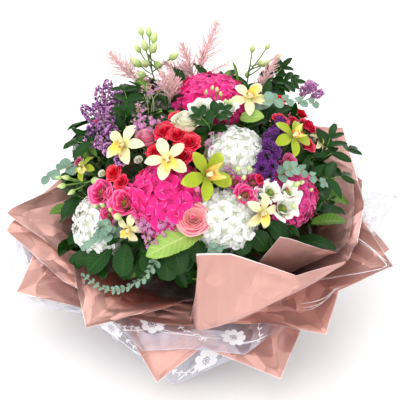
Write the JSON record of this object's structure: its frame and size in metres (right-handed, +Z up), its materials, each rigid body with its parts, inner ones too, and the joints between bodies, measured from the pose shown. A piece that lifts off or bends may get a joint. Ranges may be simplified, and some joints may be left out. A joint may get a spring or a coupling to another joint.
{
  "type": "wrapped flower bouquet",
  "caption": "Hand-tied mixed flower bouquet in layered satin film and printed clear film, standing on its splayed cut stems.",
  "frame": {"origin": "on the standing plane, below the middle of the object's bounding box", "axes": "+Z up the bouquet from the cut stems to the blooms, -Y towards the viewer of the picture, +X to the right"},
  "size_m": [0.7576, 0.6912, 0.5694],
  "materials": {
    "satin_film": "pearly satin",
    "clear_film": "clear, glossy",
    "white_petals": "soft matte",
    "raspberry_petals": "soft matte",
    "hot_pink_petals": "soft matte",
    "rose_petals": "velvety",
    "cream_petals": "waxy",
    "red_petals": "velvety",
    "lime_petals": "waxy",
    "blush_plume": "feathery",
    "purple_florets": "papery",
    "lilac_florets": "waxy",
    "pale_buds": "satin",
    "sage_leaves": "dusty matte",
    "lime_leaves": "matte",
    "dark_leaves": "satin",
    "ribbon": "satin",
    "stems": "matte"
  },
  "bodies": {
    "root": {"astilbe_left": "blush_plume", "astilbe_right": "blush_plume", "astilbe_top": "blush_plume", "buds_left": "pale_buds", "buds_top_left": "pale_buds", "buds_top_right": "pale_buds", "eucalyptus_front": "sage_leaves", "eucalyptus_left": "sage_leaves", "eucalyptus_low": "sage_leaves", "eucalyptus_right": "sage_leaves", "eucalyptus_top": "sage_leaves", "eucalyptus_trailing": "sage_leaves", "film_clear_lower": "clear_film", "film_clear_upper": "clear_film", "hydrangea_pink_mid": "hot_pink_petals", "hydrangea_pink_right": "raspberry_petals", "hydrangea_pink_top": "hot_pink_petals", "hydrangea_white_back": "white_petals", "hydrangea_white_left": "white_petals", "hydrangea_white_low": "white_petals", "hydrangea_white_upper": "white_petals", "leaf_lime_front": "lime_leaves", "leaves_back": "dark_leaves", "leaves_left": "dark_leaves", "leaves_low": "dark_leaves", "leaves_mid": "dark_leaves", "leaves_right": "dark_leaves", "leaves_top_right": "dark_leaves", "lisianthus_pink_left": "hot_pink_petals", "lisianthus_pink_right": "hot_pink_petals", "lisianthus_white_right": "cream_petals", "lisianthus_white_top": "cream_petals", "orchid_cream_edge": "cream_petals", "orchid_cream_left": "cream_petals", "orchid_cream_low": "cream_petals", "orchid_cream_mid": "cream_petals", "orchid_cream_right": "cream_petals", "orchid_cream_top": "cream_petals", "orchid_green_left": "lime_petals", "orchid_green_mid": "lime_petals", "orchid_green_right": "lime_petals", "ribbon": "ribbon", "rose_blush": "rose_petals", "rose_cream": "cream_petals", "rose_pink": "rose_petals", "roses_back": "hot_pink_petals", "spray_roses_left": "red_petals", "spray_roses_red": "red_petals", "spray_roses_right": "red_petals", "statice_left": "purple_florets", "statice_tip_right": "purple_florets", "statice_violet": "purple_florets", "stem_ends": "stems", "stems": "stems", "waxflower_low": "lilac_florets", "waxflower_upper": "lilac_florets", "wrap_pink_flap": "satin_film", "wrap_pink_inner": "satin_film", "wrap_pink_mid": "satin_film", "wrap_pink_outer": "satin_film"}
  },
  "joints": []
}
